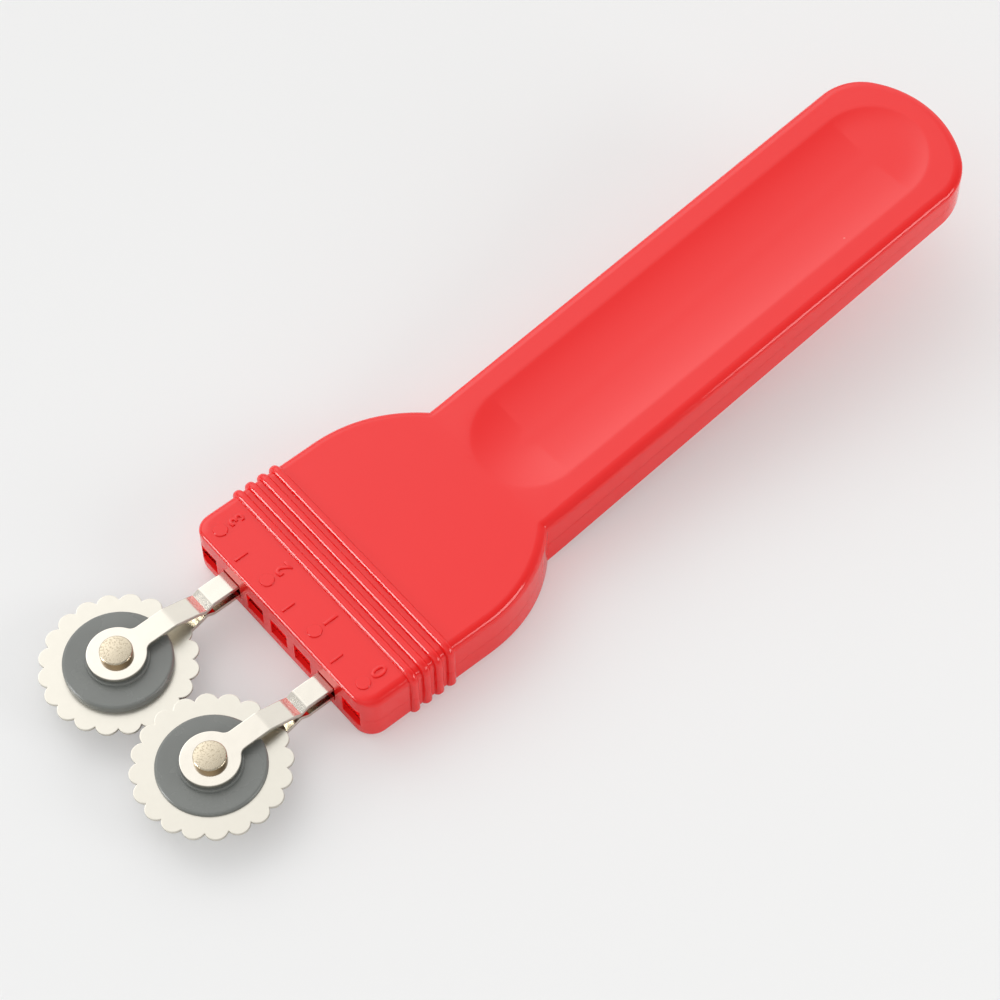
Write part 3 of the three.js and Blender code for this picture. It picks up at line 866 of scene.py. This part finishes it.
def shape_handle(work):
    """Moves every point of the blank: ribs out, recess down, and the grip along its slope"""
    ribs_start = RIB_FIRST - RIB_WIDTH / 2 - TOUCH
    ribs_end = rib_middles[-1] + RIB_WIDTH / 2 + TOUCH
    for vert in work.verts:
        x, y, z = vert.co
        on_outside = abs(x) > HEAD_HALF - HEAD_EDGE or z > HEAD_HEIGHT - TOUCH
        if ribs_start < y < ribs_end and on_outside:
            vert.co += outward(vert) * rib_height(y)
        from_line = hypot(x, max(recess_near - y, 0, y - recess_far))
        if z > HEAD_HEIGHT - TOUCH and y > HEAD_SIDE and from_line <= ring + TOUCH:
            vert.co.z -= recess_depth(x, y)
        share = vert.co.z / HEAD_HEIGHT
        vert.co.z += climb_at(y) * (share * TOP_RISE + (1 - share) * BOTTOM_RISE)


print(f"the grip's top climbs {TOP_RISE * climb_at(handle_length):.1f} mm")

# %% [markdown]
# ## The two shells
# The handle is moulded as two shells, which meet in a fine parting line at the sockets' middle.
# Each shell is a copy of the flat blank, cut level at the line and closed again. Its points are
# moved only after that, because the slope would tilt the cut.

# %% Part the handle
PARTING = middle_height
SEAM = 0.04


def make_shell(keep_above):
    """The part of the handle above or below the parting, closed again and shaped"""
    half = blank.copy()
    height = PARTING + (SEAM / 2 if keep_above else -SEAM / 2)
    parted = bmesh.ops.bisect_plane(
        half, geom=[*half.verts, *half.edges, *half.faces], dist=TOUCH, plane_co=(0, 0, height),
        plane_no=(0, 0, 1), clear_inner=keep_above, clear_outer=not keep_above,
    )
    edges = [item for item in parted["geom_cut"] if isinstance(item, bmesh.types.BMEdge)]
    bmesh.ops.holes_fill(half, edges=edges, sides=0)
    bmesh.ops.recalc_face_normals(half, faces=half.faces)
    shape_handle(half)
    return half


for name, keep_above, replaced in (
    ("handle_top", True, "handle_upper_shell"),
    ("handle_base", False, "handle_lower_shell"),
):
    shell = make_shell(keep_above)
    finish_piece(name, shell, "handle", "red_plastic", red_plastic, replaced)
blank.free()

# %% [markdown]
# ## The scale on the nose
# A centimetre scale is moulded on the nose, proud of it by a hair: a round pip and a number at
# each centimetre, and a tick halfway. The numbers read from the grip's side. A text curve gives
# the figures; it is made a mesh first, and only then set in place. Every mark has a narrow
# rounded edge, which catches a thin line of light.

# %% Scale marks
MARK_PROUD = 0.2
MARK_SUNK = 0.06
MARK_ROUND = 0.06
MARK_TALL = MARK_PROUD + MARK_SUNK
PIP_RADIUS = 1.02
PIP_TAPER = 0.06
PIP_STEPS = 40
PIP_MIDDLE = 2.4
TICK_WIDTH = 0.3
TICK_NEAR = 1.0
TICK_FAR = 3.0
FIGURE_MIDDLE = 5.1
FIGURE_HEIGHT = 2.15
FIGURE_CAP = 0.72  # the height of a figure as a share of the text size
FIGURE_BOLD = 0.07  # how much wider its strokes are drawn
scale_xs = [-15, -5, 5, 15]
tick_xs = [-10, 0, 10]


def figure_mesh(text):
    """A figure as a flat mesh with a little thickness, about its own middle"""
    curve = bpy.data.curves.new("figure", "FONT")
    curve.body = text
    curve.align_x = "CENTER"
    curve.align_y = "CENTER"
    curve.size = FIGURE_HEIGHT / FIGURE_CAP
    curve.extrude = MARK_TALL / 2 - MARK_ROUND
    curve.bevel_depth = MARK_ROUND
    curve.bevel_resolution = 1
    curve.offset = FIGURE_BOLD - MARK_ROUND
    holder = bpy.data.objects.new("figure", curve)
    scene.collection.objects.link(holder)
    bpy.context.view_layer.update()
    mesh = bpy.data.meshes.new_from_object(holder)
    bpy.data.objects.remove(holder)
    bpy.data.curves.remove(curve)
    return mesh


def add_marks(marks, made, x, y, turn=0.0):
    """Sets new points in place: sunk a little into the nose, turned and moved"""
    bmesh.ops.translate(marks, vec=(0, 0, (MARK_PROUD - MARK_SUNK) / 2), verts=made)
    bmesh.ops.rotate(marks, cent=(0, 0, 0), matrix=Matrix.Rotation(turn, 3, "Z"), verts=made)
    bmesh.ops.translate(marks, vec=(x, y, HEAD_HEIGHT), verts=made)


marks = bmesh.new()
for x in tick_xs:
    bar = bmesh.ops.create_cube(marks, size=1)["verts"]
    bmesh.ops.scale(marks, vec=(TICK_WIDTH, TICK_FAR - TICK_NEAR, MARK_TALL), verts=bar)
    add_marks(marks, bar, x, (TICK_NEAR + TICK_FAR) / 2)
for x in scale_xs:
    pip = bmesh.ops.create_cone(
        marks, cap_ends=True, segments=PIP_STEPS, radius1=PIP_RADIUS,
        radius2=PIP_RADIUS - PIP_TAPER, depth=MARK_TALL,
    )["verts"]
    add_marks(marks, pip, x, PIP_MIDDLE)
round_edges(marks, lambda edge: is_rim(edge, HEAD_HEIGHT + MARK_PROUD), MARK_ROUND, 2)
for x, text in zip(scale_xs, "3210"):
    flat = figure_mesh(text)
    known = set(marks.verts)
    marks.from_mesh(flat)
    bpy.data.meshes.remove(flat)
    figure = [vert for vert in marks.verts if vert not in known]
    add_marks(marks, figure, x, FIGURE_MIDDLE, pi)
bmesh.ops.remove_doubles(marks, verts=marks.verts, dist=TOUCH)
finish_piece("scale_marks", marks, "handle", "red_plastic", red_plastic)

# %% [markdown]
# ## The forks
# A fork is one long strip of spring steel, cut with an eye at each end and folded over on
# itself. It is made the way the real one is: first the flat blank, then the bending. The route
# is a few corners, each rounded by a short curve.

# %% The bent route
STRIP_THICKNESS = 0.6
STRIP_HALF = 3.19 / 2
EYE_RADIUS = 3.95
EYE_FILLET = 1.2
SHEAR_ROUND = 0.07
RIVET_HOLE = 1.18
FOLD_HALF = 1.075
FOLD_REACH = 13.4
EYE_SPARE = 1  # of the route past each eye
BEND_HOLD = 0.45  # how far a bend keeps to its two straight runs
leg_level = (fork_high.z - fork_low.z) / 2 - STRIP_THICKNESS / 2
LEG_CORNERS = [
    # distance ahead of the nose, height over the middle, length of the bend
    (9.9, leg_level, 0.35),
    (6.6, 1.04, 0.2),
    (5.2, 0.43, 0.15),
    (4.1, 1.03, 0.12),
    (-FOLD_REACH, FOLD_HALF, FOLD_HALF),
]
BEND_POINTS = 9


def bent_route():
    """Points in Y and Z from past one eye, round the fold, to past the other"""
    start = Vector((-axle_reach - EYE_RADIUS - EYE_SPARE, leg_level))
    leg = [(Vector((-ahead, height)), length) for ahead, height, length in LEG_CORNERS]
    back_leg = [(Vector((corner.x, -corner.y)), length) for corner, length in reversed(leg)]
    end = Vector((start.x, -start.y))
    bends = leg + back_leg
    places = [start] + [corner for corner, _ in bends] + [end]
    route = [start]
    for index, (corner, length) in enumerate(bends, start=1):
        into = (places[index - 1] - corner).normalized()
        out = (places[index + 1] - corner).normalized()
        first = corner + into * length
        last = corner + out * length
        handles = [place.lerp(corner, 1 - BEND_HOLD) for place in (first, last)]
        knots = [place.to_3d() for place in (first, *handles, last)]
        for point in interpolate_bezier(*knots, BEND_POINTS):
            if (point.to_2d() - route[-1]).length > TOUCH:
                route.append(point.to_2d())
    route.append(end)
    return route


route = bent_route()
lengths = [0.0]
for here, there in zip(route, route[1:]):
    lengths.append(lengths[-1] + (there - here).length)
eye_at = EYE_RADIUS + EYE_SPARE
eye_span = lengths[-1] - 2 * eye_at
print(f"strip {lengths[-1]:.1f} mm long, {len(route)} points")

# %% [markdown]
# The blank's outline has two eyes, each with a fillet on both sides where it meets the strip.
# Its edges are rounded while it is still flat, because there they are easy to pick. It is then
# cut across wherever the route has a point, and each of its points is laid along the route.

# %% Blank and bend
SIDES = {"left": -1, "right": 1}


def strip_outline():
    """The blank's outline: an eye and two fillets at each end, in plan about the first eye"""
    fillet_x = STRIP_HALF + EYE_FILLET
    fillet_y = sqrt((EYE_RADIUS + EYE_FILLET) ** 2 - fillet_x**2)
    tilt = atan2(fillet_y, fillet_x)
    one_end = [
        (-fillet_x, fillet_y, EYE_FILLET, 0, -tilt, 8),
        (0, 0, EYE_RADIUS, pi - tilt, pi + 2 * tilt, 64),
        (fillet_x, fillet_y, EYE_FILLET, pi + tilt, -tilt, 8),
    ]
    other_end = [
        (-x, eye_span - y, radius, start + pi, *rest) for x, y, radius, start, *rest in one_end
    ]
    return one_end + other_end


def lay_on_route(vert):
    """Moves a point of the flat blank to its place on the bent strip"""
    along = vert.co.y + eye_at
    index = max(i for i, length in enumerate(lengths[:-1]) if length <= along + TOUCH)
    share = (along - lengths[index]) / (lengths[index + 1] - lengths[index])

    def across(i):
        """The direction square to the strip at a point of the route, longer at a bend"""
        into = (route[i] - route[max(i - 1, 0)]).normalized()
        out = (route[min(i + 1, len(route) - 1)] - route[i]).normalized()
        run = (into + out).normalized()
        along_one = out if out.length > 0 else into
        return Vector((-run.y, run.x)) / max(run.dot(along_one), 0.5)

    square = across(index).lerp(across(index + 1), share)
    place = route[index].lerp(route[index + 1], share) + square * vert.co.z
    vert.co = Vector((vert.co.x, place.x, place.y + middle_height))


def make_fork():
    """The blank with its eyes and holes, raised, rounded and bent"""
    work = bmesh.new()
    draw_loop(work, strip_outline())
    for y in (0, eye_span):
        draw_loop(work, circle_arc(0, y, RIVET_HOLE, 32))
    bmesh.ops.triangle_fill(work, use_beauty=True, edges=work.edges, normal=(0, 0, 1))
    raise_faces(work, work.faces[:], STRIP_THICKNESS)
    round_edges(work, lambda edge: is_rim(edge, 0, STRIP_THICKNESS), SHEAR_ROUND, 2)
    hold_flats(work)
    bmesh.ops.translate(work, vec=(0, 0, -STRIP_THICKNESS / 2), verts=work.verts)
    for length in lengths[1:-1]:
        cut(work, (0, length - eye_at, 0), (0, 1, 0))
    for vert in work.verts:
        lay_on_route(vert)
    bmesh.ops.recalc_face_normals(work, faces=work.faces)
    return work


for name, side in SIDES.items():
    fork = make_fork()
    bmesh.ops.translate(fork, vec=(side * fork_x, 0, 0), verts=fork.verts)
    finish_piece(f"{name}_fork_strip", fork, f"{name}_arm", "plated_steel", nickel, f"{name}_fork")

# %% [markdown]
# ## The marking discs
# Each disc is thin steel with twenty round scallops. One scallop is an arc from cusp to cusp;
# twenty of them, each started a step further round, close into the outline. The bore for the hub
# is a second loop, and the ring between the two is filled, raised and given the faint rounding
# of a worn edge.

# %% Discs
DISC_RADIUS = 10.53
DISC_VALLEY = 9.6
SCALLOPS = 20
SCALLOP_STEPS = 12
DISC_BORE = 3.08
DISC_EDGE = 0.07
PHASE = {"left": 8.6, "right": 2.9}


def set_on_axle(work, name, height=0):
    """Moves a piece that was made about the axle to its own wheel"""
    place = (SIDES[name] * fork_x, -axle_reach, height)
    bmesh.ops.translate(work, vec=place, verts=work.verts)


def scallop_arcs(phase):
    """The disc's outline: one arc from cusp to cusp for each scallop"""
    half_step = pi / SCALLOPS
    half_chord = DISC_VALLEY * sin(half_step)
    chord_at = DISC_VALLEY * cos(half_step)
    bulge = DISC_RADIUS - chord_at
    radius = (half_chord**2 + bulge**2) / (2 * bulge)
    centre = DISC_RADIUS - radius
    reach = atan2(half_chord, chord_at - centre)
    return [
        (centre * cos(turn), centre * sin(turn), radius, turn - reach, 2 * reach, SCALLOP_STEPS)
        for turn in (phase + 2 * half_step * index for index in range(SCALLOPS))
    ]


def make_disc(name):
    """The thin toothed disc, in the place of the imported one"""
    low, high = corners(f"{name}_disc")
    work = bmesh.new()
    draw_loop(work, scallop_arcs(radians(PHASE[name])))
    draw_loop(work, circle_arc(0, 0, DISC_BORE, 64))
    bmesh.ops.triangle_fill(work, use_beauty=True, edges=work.edges, normal=(0, 0, 1))
    thick = high.z - low.z
    raise_faces(work, work.faces[:], thick)
    round_edges(work, lambda edge: is_rim(edge, 0, thick), DISC_EDGE, 2)
    hold_flats(work)
    set_on_axle(work, name, low.z)
    finish_piece(
        f"{name}_marking_disc", work, f"{name}_wheel", "disc_steel", satin, f"{name}_disc"
    )


for name in SIDES:
    make_disc(name)

# %% [markdown]
# ## The hubs
# A hub is two plastic halves that clamp the disc. Both are turned shapes, so each is one half
# section spun round the axle. The half with the spigot is the body, and the other, the cap, is a
# plain ring that closes the clamp. The outer edge is rounded after the spin, because a bevel on
# a ring is simpler than an arc in the section.

# %% Hub halves
HUB_RADIUS = 7.26
BOSS_RADIUS = 4.2
BOSS_STEP = 0.5
HUB_ROUND = 0.4
BOSS_ROUND = 0.08
SPIGOT_RADIUS = 3.0
HUB_BORE = 1.18
TURN_STEPS = 96
RING_NEAR = 0.001  # an edge this near to a ring is on it


def spin_section(points):
    """A closed section of (radius, height) points spun round the Z axis"""
    work = bmesh.new()
    verts = [work.verts.new((radius, 0, height)) for radius, height in points]
    edges = [work.edges.new((verts[i - 1], vert)) for i, vert in enumerate(verts)]
    bmesh.ops.spin(
        work, geom=verts + edges, cent=(0, 0, 0), axis=(0, 0, 1), angle=2 * pi,
        steps=TURN_STEPS, use_merge=True,
    )
    bmesh.ops.remove_doubles(work, verts=work.verts, dist=TOUCH)
    bmesh.ops.recalc_face_normals(work, faces=work.faces)
    return work


def on_ring(edge, radius, height):
    """Whether an edge runs round the axle at a radius and a height"""
    return all(
        abs(hypot(vert.co.x, vert.co.y) - radius) < RING_NEAR
        and abs(vert.co.z - height) < RING_NEAR
        for vert in edge.verts
    )


def make_hub_half(name, half, has_spigot):
    """One half: outer is the height of its boss, and seat that of its side on the disc"""
    low, high = corners(f"{name}_hub_{half}")
    disc_low, disc_high = corners(f"{name}_disc")
    above = high.z > disc_high.z + 0.1
    outer = high.z if above else low.z
    seat = disc_high.z if above else disc_low.z
    step = BOSS_STEP if above else -BOSS_STEP
    far_seat = disc_low.z if above else disc_high.z
    section = [(HUB_BORE, outer), (BOSS_RADIUS, outer), (BOSS_RADIUS, outer - step)]
    section += [(HUB_RADIUS, outer - step), (HUB_RADIUS, seat)]
    if has_spigot:
        section += [(SPIGOT_RADIUS, seat), (SPIGOT_RADIUS, far_seat), (HUB_BORE, far_seat)]
    else:
        section += [(HUB_BORE, seat)]
    work = spin_section(section)
    round_edges(work, lambda edge: on_ring(edge, HUB_RADIUS, outer - step), HUB_ROUND, 6)
    round_edges(work, lambda edge: on_ring(edge, BOSS_RADIUS, outer), BOSS_ROUND, 2)
    set_on_axle(work, name)
    node = f"{name}_hub_{half}"
    finish_piece(f"{node}_moulding", work, f"{name}_wheel", "grey_plastic", grey_plastic, node)


for name in SIDES:
    make_hub_half(name, "body", True)
    make_hub_half(name, "cap", False)

# %% [markdown]
# ## The axle rivets
# The rivet runs through both eyes and the hub. Its heads are low drums with a slightly rounded
# rim. The section starts and ends on the axis, so the spin closes at both poles.

# %% Rivets
RIVET_RADIUS = 1.1
RIVET_HEAD = 2.2
RIVET_ROUND = 0.22
RIVET_CROWN = 0.04  # how far the face swells in its middle


def make_rivet(name):
    """The axle with its two struck heads"""
    low, high = corners(f"{name}_axle_rivet")
    under = fork_high.z
    over = fork_low.z
    section = [(0, high.z), (RIVET_HEAD, high.z - RIVET_CROWN), (RIVET_HEAD, under)]
    section += [(RIVET_RADIUS, under), (RIVET_RADIUS, over), (RIVET_HEAD, over)]
    section += [(RIVET_HEAD, low.z + RIVET_CROWN), (0, low.z)]
    work = spin_section(section)
    for height in (high.z - RIVET_CROWN, low.z + RIVET_CROWN):
        round_edges(work, lambda edge: on_ring(edge, RIVET_HEAD, height), RIVET_ROUND, 5)
    set_on_axle(work, name)
    node = f"{name}_axle_rivet"
    finish_piece(f"{name}_rivet", work, f"{name}_arm", "rivet_steel", struck_steel, node)


for name in SIDES:
    make_rivet(name)
